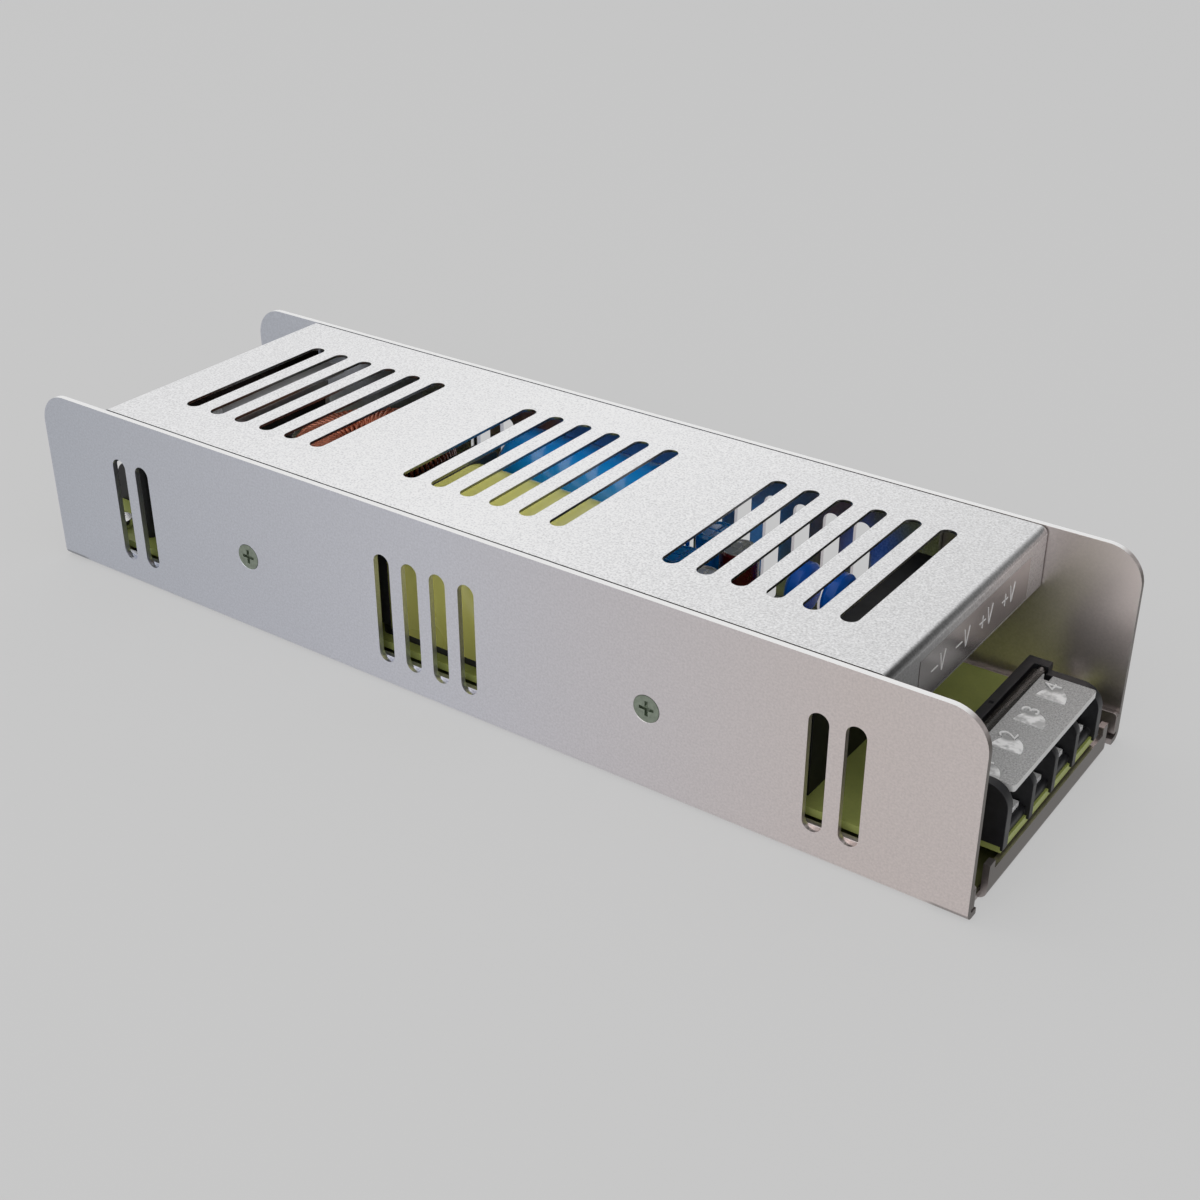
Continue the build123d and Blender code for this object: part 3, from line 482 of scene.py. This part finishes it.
def from_digit(tree, coords, place, digit_place, poles):
    """Distance from the nearest pole number on a lid."""
    along = maths(tree, "SUBTRACT", place, digit_place)
    # Shifted so that it is never negative and each number lies in the middle of a pitch
    shift = pole_pitch * (10 if poles % 2 == 0 else 10.5)
    across = maths(tree, "ADD", axis_value(tree, coords, "Object", "Y"), shift)
    across = maths(tree, "SUBTRACT", maths(tree, "MODULO", across, pole_pitch), pole_pitch / 2)
    squares = [maths(tree, "POWER", maths(tree, "ABSOLUTE", side), 2) for side in (along, across)]
    return maths(tree, "SQRT", maths(tree, "ADD", *squares))


def frosted(name, lid, poles):
    """Lid of grey speckled see-through plastic, with a painted highlight on its edges, and a dark glossy
    hinge tube.

    Its pale cloudy pads fade out into painted shadow around the pole numbers.
    """
    low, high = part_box(lid)
    back = min(abs(low.x), abs(high.x))
    front = max(abs(low.x), abs(high.x))
    pad_floor = high.z - lid_tube_rise + lid_pad_above
    made, tree, shader, coords = start_material(name)
    place = size_on_axis(tree, coords, "Object", "X")
    plate = span(tree, place, back + lid_tube_depth, back + lid_tube_depth + 0.15 * MM, 0, 1)
    speck = noise(tree, coords, lid_speck_size, 2.0, 0.6)
    wide = noise(tree, coords, 5 * MM, 2.0)
    tone = mix(tree, uneven(tree, speck), *lid_specks)
    tone = mix(tree, uneven(tree, wide, 0, 0.3), tone, lid_middle)
    height = axis_value(tree, coords, "Object", "Z")
    pad = product(tree, span(tree, height, pad_floor, pad_floor + 0.05 * MM, 0, 1),
                  span(tree, axis_value(tree, coords, "Normal", "Z"), 0.9, 0.97, 0, 1), plate)
    clouds = noise(tree, coords, lid_cloud_size, 2.0, 0.5)
    milky = mix(tree, span(tree, clouds, 0.36, 0.6, 0, 1), *lid_clouds)
    # Painted shadow around each raised pole number, where the pads fade out
    apart = from_digit(tree, coords, place, front - digit_from_lid_front, poles)
    around = span(tree, apart, 0.4 * digit_height, 0.65 * digit_height, 0, 1)
    tone = mix(tree, pad, tone, mix(tree, around, painted_digit_shade, milky))
    # Painted highlight on the lid's edges
    edge = span(tree, size_on_axis(tree, coords, "Normal", "Z"), 0.45, 0.75, 1, 0)
    tone = mix(tree, edge, tone, painted_lid_edge_highlight)
    tone = mix(tree, plate, lid_tube_tone, tone)
    tree.links.new(tone, shader.inputs["Base Color"])
    cover = maths(tree, "MAXIMUM", span(tree, plate, 0, 1, *lid_alpha), pad)
    tree.links.new(cover, shader.inputs["Alpha"])
    tree.links.new(span(tree, plate, 0, 1, *lid_roughness), shader.inputs["Roughness"])
    bump(tree, shader, product(tree, speck, maths(tree, "SUBTRACT", plate, pad)), lid_relief)
    return made


def glossy_rod(name):
    """Near-black glossy plastic with faint streaks along it."""
    made, tree, shader, coords = start_material(name)
    streaks = noise(tree, coords, 0.8 * MM, 1.0, 0.5, (1, 0.04, 1))
    tone = mix(tree, span(tree, streaks, 0.35, 0.65, 0, 1), *rod_tones)
    tree.links.new(tone, shader.inputs["Base Color"])
    shader.inputs["Roughness"].default_value = 0.12
    shader.inputs["Coat Weight"].default_value = 1.0
    return made


case_metal = sheet_metal(
    "case_metal", cool=(0.61, 0.635, 0.70), middle=(0.75, 0.755, 0.82), warm=(0.80, 0.72, 0.70),
    grain=0.08, grain_size=0.45 * MM, grain_height=0, roughness=0.30,
    cut_tone=(0.12, 0.102, 0.09), painted_top_highlight_tone=grey(1.0), metallic=0.9)
cover_metal = sheet_metal(
    "cover_metal", cool=(0.86, 0.86, 0.87), middle=(0.98, 0.98, 0.99), warm=(0.79, 0.79, 0.795),
    grain=0.24, grain_size=0.42 * MM, grain_height=0.02 * MM, roughness=0.30,
    cut_tone=(0.5, 0.48, 0.47), painted_slot_shade=grey(0.30))
zinc = plain("zinc", (0.30, 0.345, 0.28), 0.15, 0.8 * MM, 0.42, metallic=1.0)
bright_steel = plain("bright_steel", (0.80, 0.80, 0.80), 0.06, 1.5 * MM, 0.26, metallic=1.0)
film = plain("film", (0.16, 0.17, 0.07), 0.1, 4 * MM, 0.35)
board = solder_mask("board")
black_plastic = plain("black_plastic", (0.014, 0.014, 0.016), 0.25, 1.2 * MM, 0.42,
                      height=0.01 * MM, specular=0.36)
tinned = plain("tinned", grey(0.88), 0.06, 1.0 * MM, 0.36, metallic=0.7)
tin_plate = plain("tin_plate", grey(0.92), 0.06, 1.0 * MM, 0.40, metallic=0.25)
hinge_rod = glossy_rod("hinge_rod")
output_lid_plastic = frosted("output_lid_plastic", "output_terminal_lid", output_poles)
input_lid_plastic = frosted("input_lid_plastic", "input_terminal_lid", input_poles)
raised_mark = plain("raised_mark", grey(0.82), 0.06, 1.0 * MM, 0.3)
mark_plate = sheet_metal(
    "mark_plate", cool=(0.70, 0.67, 0.66), middle=(0.70, 0.67, 0.66), warm=(0.74, 0.71, 0.70),
    grain=0.02, grain_size=0.45 * MM, grain_height=0, roughness=0.2,
    cut_tone=(0.5, 0.48, 0.47), painted_slot_shade=grey(0.3))
brass = plain("brass", (0.62, 0.48, 0.22), 0.08, 2 * MM, 0.3, metallic=1.0)
ferrite = plain("ferrite", (0.022, 0.022, 0.024), 0.3, 0.6 * MM, 0.5, height=0.01 * MM)
tape = plain("tape", (0.97, 0.94, 0.28), 0.04, 6 * MM, 0.3,
             height=0.02 * MM, coat=0.5, stretch=(1, 0.3, 0.3))
copper = plain("copper", (0.56, 0.16, 0.075), 0.2, 1.5 * MM, 0.28, metallic=0.5, coat=0.6)
blue_sleeve = plain("blue_sleeve", (0.01, 0.36, 1.0), 0.04, 5 * MM, 0.22, coat=0.8)
blue_epoxy = plain("blue_epoxy", (0.003, 0.19, 0.97), 0.03, 2 * MM, 0.32, coat=0.3)
green_epoxy = plain("green_epoxy", (0.02, 0.035, 0.02), 0.2, 2 * MM, 0.3, coat=0.6)
grey_plastic = plain("grey_plastic", (0.06, 0.065, 0.075), 0.12, 2 * MM, 0.4)
aluminium = plain("aluminium", (0.86, 0.86, 0.89), 0.05, 3 * MM, 0.34, metallic=0.45)
black_anodised = plain("black_anodised", (0.008, 0.008, 0.009), 0.2, 1.5 * MM, 0.5, specular=0.25)
red_can_1 = can_finish("red_can_1", "filter_capacitor_1", dark_red, grey(0.85))
red_can_2 = can_finish("red_can_2", "filter_capacitor_2", dark_red, grey(0.85))


# Meshes

def mesh_from(work, name):
    mesh = bpy.data.meshes.new(name)
    work.to_mesh(mesh)
    work.free()
    return mesh


def rounded_copy(node, width):
    """New mesh of a CAD node: facets of flat faces joined, sharp edges rounded."""
    work = bmesh.new()
    work.from_mesh(frame["nodes"][node].data)
    bmesh.ops.remove_doubles(work, verts=work.verts, dist=weld_distance)
    if node == "top_cover":
        for vert in work.verts:
            if abs(vert.co.z - slot_underside) < 0.01 * MM:
                vert.co.z = slot_underside_shown
    bmesh.ops.dissolve_limit(work, angle_limit=flat_angle, verts=work.verts, edges=work.edges)
    sharp = [e for e in work.edges if len(e.link_faces) == 2 and e.calc_face_angle(0) > sharp_angle]
    if sharp:
        bmesh.ops.bevel(work, geom=sharp, offset=width, segments=rounding_segments, profile=0.5,
                        affect="EDGES", clamp_overlap=True)
    for face in work.faces:
        face.smooth = True
    for edge in work.edges:
        edge.smooth = len(edge.link_faces) == 2 and edge.calc_face_angle(0) < crease_angle
    mesh = mesh_from(work, node + "_skin")
    mesh.materials.clear()
    return mesh


bodies = frame["record"]["behaviour"]["bodies"]


def body_of(node):
    return [name for name, held in bodies.items() if node in held][0]


def place_piece(piece, body, material):
    bpy.context.scene.collection.objects.link(piece)
    piece.data.materials.append(material)
    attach(piece, body)


def dress(node, material, width):
    """Replaces a node by a copy with rounded edges and its finish."""
    piece = bpy.data.objects.new(node + "_dressed", rounded_copy(node, width))
    place_piece(piece, body_of(node), material)
    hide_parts(node)
    smooth = piece.modifiers.new("even_normals", "WEIGHTED_NORMAL")
    smooth.keep_sharp = True


# Each node's finish, material slot and edge rounding in millimetres. The choke's two are replaced below.
looks = [
    ("chassis", case_metal, "case_sheet", 0.12),
    ("base_rail_near", case_metal, "case_sheet", 0.12),
    ("base_rail_far", case_metal, "case_sheet", 0.12),
    ("top_cover", cover_metal, "cover_sheet", 0.12),
    ("cover_screws", zinc, "zinc_screw", 0.08),
    ("insulating_sheet", film, "film", 0.03),
    ("circuit_board", board, "board", 0.05),
    ("board_spacers", brass, "brass_post", 0.1),
    ("board_screws", bright_steel, "steel_bright", 0.1),
    ("output_terminal_body", black_plastic, "black_plastic", 0.2),
    ("input_terminal_body", black_plastic, "black_plastic", 0.2),
    ("output_hinge_rod", hinge_rod, "rod_plastic", 0.05),
    ("input_hinge_rod", hinge_rod, "rod_plastic", 0.05),
    ("output_terminal_lid", output_lid_plastic, "clear_lid", 0.1),
    ("input_terminal_lid", input_lid_plastic, "clear_lid", 0.1),
    ("output_contacts", tin_plate, "steel_bright", 0.1),
    ("input_contacts", tin_plate, "steel_bright", 0.1),
    ("output_clamps", tin_plate, "steel_bright", 0.1),
    ("input_clamps", tin_plate, "steel_bright", 0.1),
    ("output_terminal_screws", tinned, "steel_bright", 0.08),
    ("input_terminal_screws", tinned, "steel_bright", 0.08),
    ("transformer_core", ferrite, "ferrite", 0.2),
    ("transformer_winding", tape, "yellow_tape", 0.2),
    ("transformer_base", black_plastic, "black_plastic", 0.2),
    ("choke_base", black_plastic, "black_plastic", 0.2),
    ("bulk_capacitor", blue_sleeve, "blue_sleeve", 0.3),
    ("capacitor_cradle", black_plastic, "black_plastic", 0.2),
    ("filter_capacitor_1", red_can_1, "red_sleeve", 0.2),
    ("filter_capacitor_2", red_can_2, "red_sleeve", 0.2),
    ("smoothing_capacitor_1", blue_sleeve, "blue_sleeve", 0.2),
    ("smoothing_capacitor_2", blue_sleeve, "blue_sleeve", 0.2),
    ("disc_capacitor_1", blue_epoxy, "blue_epoxy", 0.4),
    ("disc_capacitor_2", blue_epoxy, "blue_epoxy", 0.4),
    ("thermistor", green_epoxy, "dark_epoxy", 0.4),
    ("fuse", black_plastic, "black_plastic", 0.2),
    ("line_capacitor", grey_plastic, "grey_plastic", 0.3),
    ("rectifier_bracket", aluminium, "aluminium", 0.1),
    ("bridge_rectifier", black_plastic, "black_plastic", 0.15),
    ("rectifier_screw", bright_steel, "steel_bright", 0.08),
    ("output_heatsink", black_anodised, "black_anodised", 0.15),
    ("output_diode_1", black_plastic, "black_plastic", 0.15),
    ("output_diode_2", black_plastic, "black_plastic", 0.15),
]
for node, material, slot, width in looks:
    dress(node, material, width * MM)


# Small raised pieces that only the scene carries, and the wound choke

def digit(name, number, lid, x, y, facing):
    """Plain raised pole number that stands on the lid, its head towards the case's middle."""
    curve = bpy.data.curves.new(name, "FONT")
    curve.body = str(number)
    curve.size = digit_height / font_cap_height
    curve.align_x = "CENTER"
    curve.align_y = "CENTER"
    curve.offset = -digit_thinning
    curve.extrude = digit_relief / 2 - digit_bevel
    curve.bevel_depth = digit_bevel
    curve.bevel_resolution = 1
    piece = bpy.data.objects.new(name, curve)
    plate_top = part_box(lid)[1].z - lid_tube_rise
    piece.location = (x, y, plate_top + digit_relief / 2)
    piece.rotation_euler = (0, 0, facing * math.pi / 2)
    place_piece(piece, body_of(lid), raised_mark)


def number_lid(prefix, end, poles):
    """Pole numbers on the lid at the end +1 or -1 of the X axis."""
    lid = prefix + "_terminal_lid"
    low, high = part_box(lid)
    x = (high.x if end > 0 else low.x) - end * digit_from_lid_front
    for i in range(poles):
        y = end * (i - (poles - 1) / 2) * pole_pitch
        digit(f"{prefix}_pole_{i + 1}", i + 1, lid, x, y, end)


def stroke(work, x, start, stop):
    """Flat raised bar on the plane x, from start to stop, both (y, z)."""
    along = Vector((0, stop[0] - start[0], stop[1] - start[1])).normalized()
    across = Vector((1, 0, 0)).cross(along) * mark_stroke / 2
    ends = [Vector((x, *start)), Vector((x, *stop))]
    base = [ends[0] - across, ends[1] - across, ends[1] + across, ends[0] + across]
    low = [work.verts.new(p) for p in base]
    top = [work.verts.new(p + Vector((mark_relief, 0, 0))) for p in base]
    work.faces.new(low[::-1])
    work.faces.new(top)
    for i in range(4):
        j = (i + 1) % 4
        work.faces.new((low[i], low[j], top[j], top[i]))


def polarity_marks():
    """Thin bare plate on the cover's output end, with a sign and a voltage mark at each pole."""
    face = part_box("top_cover")[1].x
    outer = face + mark_plate_thickness
    work = bmesh.new()
    corners = [(y, z) for z in mark_plate_z for y in mark_plate_y]
    low = [work.verts.new((face, y, z)) for y, z in corners]
    top = [work.verts.new((outer, y, z)) for y, z in corners]
    order = (0, 2, 3, 1)
    work.faces.new([low[i] for i in order])
    work.faces.new([top[i] for i in order[::-1]])
    for i, j in zip(order, order[1:] + order[:1]):
        work.faces.new((low[j], low[i], top[i], top[j]))
    bmesh.ops.recalc_face_normals(work, faces=work.faces)
    body = body_of("top_cover")
    piece = bpy.data.objects.new("mark_plate", mesh_from(work, "mark_plate"))
    place_piece(piece, body, mark_plate)
    for i in range(output_poles):
        y = (i - (output_poles - 1) / 2) * pole_pitch
        work = bmesh.new()
        stroke(work, outer, (y - sign_length / 2, sign_z), (y + sign_length / 2, sign_z))
        if i >= output_poles / 2:
            stroke(work, outer, (y, sign_z - sign_length / 2), (y, sign_z + sign_length / 2))
        foot = (y + letter_offset, letter_z[0])
        for side in (-1, 1):
            stroke(work, outer, foot, (y + letter_offset + side * letter_half_width, letter_z[1]))
        bmesh.ops.recalc_face_normals(work, faces=work.faces)
        name = f"polarity_{i + 1}"
        place_piece(bpy.data.objects.new(name, mesh_from(work, name)), body, raised_mark)


def signed_power(value, exponent):
    return math.copysign(abs(value) ** exponent, value)


def choke_ring(centre):
    work = bmesh.new()
    profile = [(ring_inner, ring_low), (ring_outer, ring_low),
               (ring_outer, ring_high), (ring_inner, ring_high)]
    rings = []
    for i in range(ring_sides):
        angle = 2 * math.pi * i / ring_sides
        rings.append([work.verts.new((centre.x + r * math.cos(angle), centre.y + r * math.sin(angle), z))
                      for r, z in profile])
    for i in range(ring_sides):
        here, there = rings[i], rings[(i + 1) % ring_sides]
        for j in range(len(profile)):
            k = (j + 1) % len(profile)
            work.faces.new((here[j], there[j], there[k], here[k]))
    bmesh.ops.recalc_face_normals(work, faces=work.faces)
    corners = [e for e in work.edges if e.calc_face_angle(0) > math.radians(60)]
    bmesh.ops.bevel(work, geom=corners, offset=ring_rounding, segments=3, profile=0.5, affect="EDGES")
    for face in work.faces:
        face.smooth = True
    piece = bpy.data.objects.new("choke_ring", mesh_from(work, "choke_ring"))
    place_piece(piece, body_of("choke_core"), ferrite)
    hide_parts("choke_core")


def choke_turns(centre):
    """Two coils of close turns of round wire. Every other turn lies lower inside the ring."""
    curve = bpy.data.curves.new("choke_turns", "CURVE")
    curve.dimensions = "3D"
    curve.bevel_depth = wire_radius
    curve.bevel_resolution = 1
    middle_z, half_z = (loop_low + loop_high) / 2, (loop_high - loop_low) / 2
    for coil in (0, math.pi):
        for i in range(turns_per_coil):
            angle = coil + coil_sweep * (i / (turns_per_coil - 1) - 0.5)
            inner = loop_inner if i % 2 else loop_second_layer
            middle_r, half_r = (inner + loop_outer) / 2, (loop_outer - inner) / 2
            turn = curve.splines.new("POLY")
            turn.points.add(loop_points - 1)
            turn.use_cyclic_u = True
            turn.use_smooth = True
            for k, point in enumerate(turn.points):
                t = 2 * math.pi * k / loop_points
                r = middle_r + half_r * signed_power(math.cos(t), loop_squareness)
                z = middle_z + half_z * signed_power(math.sin(t), loop_squareness)
                point.co = (centre.x + r * math.cos(angle), centre.y + r * math.sin(angle), z, 1)
    piece = bpy.data.objects.new("choke_turns", curve)
    place_piece(piece, body_of("choke_winding"), copper)
    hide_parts("choke_winding")


def transformer_tape():
    """Tape over the transformer's near side, folded over its top edge."""
    low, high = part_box("transformer_winding")
    near, top = low.y - tape_lift, high.z + tape_lift
    path = [(near, low.z + tape_lift), (near, top - tape_bend)]
    for step in range(1, tape_bend_steps):
        angle = math.pi / 2 * step / tape_bend_steps
        inward, down = 1 - math.cos(angle), 1 - math.sin(angle)
        path.append((near + tape_bend * inward, top - tape_bend * down))
    path += [(near + tape_bend, top), (near + tape_fold, top)]
    work = bmesh.new()
    edges = (low.x - tape_lift, high.x + tape_lift)
    rows = [[work.verts.new((x, y, z)) for y, z in path] for x in edges]
    for j in range(len(path) - 1):
        work.faces.new((rows[0][j], rows[0][j + 1], rows[1][j + 1], rows[1][j]))
    for face in work.faces:
        face.smooth = True
    bmesh.ops.recalc_face_normals(work, faces=work.faces)
    piece = bpy.data.objects.new("transformer_tape", mesh_from(work, "transformer_tape"))
    place_piece(piece, body_of("transformer_winding"), tape)
    skin = piece.modifiers.new("thickness", "SOLIDIFY")
    skin.thickness = tape_thickness
    skin.offset = 0


choke_low, choke_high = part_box("choke_core")
choke_centre = (choke_low + choke_high) / 2
choke_ring(choke_centre)
choke_turns(choke_centre)
transformer_tape()
number_lid("output", 1, output_poles)
number_lid("input", -1, input_poles)
polarity_marks()


# Studio

def studio_floor():
    """Pale matt floor. A share of an even glow keeps it as pale where it is seen as the background."""
    made, tree, shader, coords = start_material("floor")
    field = noise(tree, coords, 0.4, 2.0)
    tone = mix(tree, field, grey(floor_grey * (1 - floor_mottle)), grey(floor_grey * (1 + floor_mottle)))
    tree.links.new(tone, shader.inputs["Base Color"])
    shader.inputs["Roughness"].default_value = 0.9
    shader.inputs["Specular IOR Level"].default_value = 0.0
    glow = tree.nodes.new("ShaderNodeEmission")
    glow.inputs["Color"].default_value = (*grey(floor_grey), 1.0)
    path = tree.nodes.new("ShaderNodeLightPath")
    seen = path.outputs["Is Camera Ray"]
    for ray in ("Is Glossy Ray", "Is Transmission Ray"):
        seen = maths(tree, "MAXIMUM", seen, path.outputs[ray])
    blend = tree.nodes.new("ShaderNodeMixShader")
    tree.links.new(span(tree, seen, 0, 1, 0, floor_shown), blend.inputs["Fac"])
    tree.links.new(shader.outputs["BSDF"], blend.inputs[1])
    tree.links.new(glow.outputs["Emission"], blend.inputs[2])
    output = [node for node in tree.nodes if node.type == "OUTPUT_MATERIAL"][0]
    tree.links.new(blend.outputs["Shader"], output.inputs["Surface"])
    mesh = bpy.data.meshes.new("floor")
    signs = ((-1, -1), (1, -1), (1, 1), (-1, 1))
    corners = [(x * floor_reach, y * floor_reach, floor_level) for x, y in signs]
    mesh.from_pydata(corners, [], [(0, 1, 2, 3)])
    mesh.materials.append(made)
    floor = bpy.data.objects.new("floor", mesh)
    bpy.context.scene.collection.objects.link(floor)


def toward(tree, coords, direction):
    """How closely a ray of the sky points along a direction: 1 along it, 0 across it."""
    made = tree.nodes.new("ShaderNodeVectorMath")
    made.operation = "DOT_PRODUCT"
    tree.links.new(coords.outputs["Generated"], made.inputs[0])
    made.inputs[1].default_value = Vector(direction).normalized()
    return made.outputs["Value"]


def studio_world():
    """Soft sky, brighter behind the object to the left and dimmer behind it to the right."""
    world = bpy.data.worlds.new("studio")
    bpy.context.scene.world = world
    world.use_nodes = True
    tree = world.node_tree
    tree.nodes.clear()
    output = tree.nodes.new("ShaderNodeOutputWorld")
    background = tree.nodes.new("ShaderNodeBackground")
    tree.links.new(background.outputs["Background"], output.inputs["Surface"])
    coords = tree.nodes.new("ShaderNodeTexCoord")
    to_softbox = toward(tree, coords, softbox_direction)
    bright = span(tree, to_softbox, *softbox_border, sky_low, sky_high, smooth=True)
    to_dark = toward(tree, coords, dark_direction)
    dim = span(tree, to_dark, *dark_border, 1.0, dark_level, smooth=True)
    tree.links.new(product(tree, bright, dim), background.inputs["Color"])
    background.inputs["Strength"].default_value = 1.0


def area_lamp(name, place, size, power, colour):
    """Round lamp that faces the origin."""
    data = bpy.data.lights.new(name, "AREA")
    data.shape = "DISK"
    data.size = size
    data.energy = power
    data.color = colour
    lamp = bpy.data.objects.new(name, data)
    bpy.context.scene.collection.objects.link(lamp)
    lamp.location = place
    lamp.rotation_euler = (-place).to_track_quat("-Z", "Y").to_euler()


def camera():
    data = bpy.data.cameras.new("camera")
    data.sensor_width = camera_sensor
    data.lens = camera_lens
    data.clip_start = 0.01
    data.clip_end = 50.0
    made = bpy.data.objects.new("camera", data)
    bpy.context.scene.collection.objects.link(made)
    made.location = camera_place
    made.rotation_euler = (math.pi / 2 - camera_pitch, 0, camera_yaw)
    bpy.context.scene.camera = made


studio_floor()
studio_world()
area_lamp("key", key_place, key_size, key_power, key_colour)
area_lamp("fill", fill_place, fill_size, fill_power, fill_colour)
camera()
bpy.context.scene.view_settings.view_transform = "Standard"
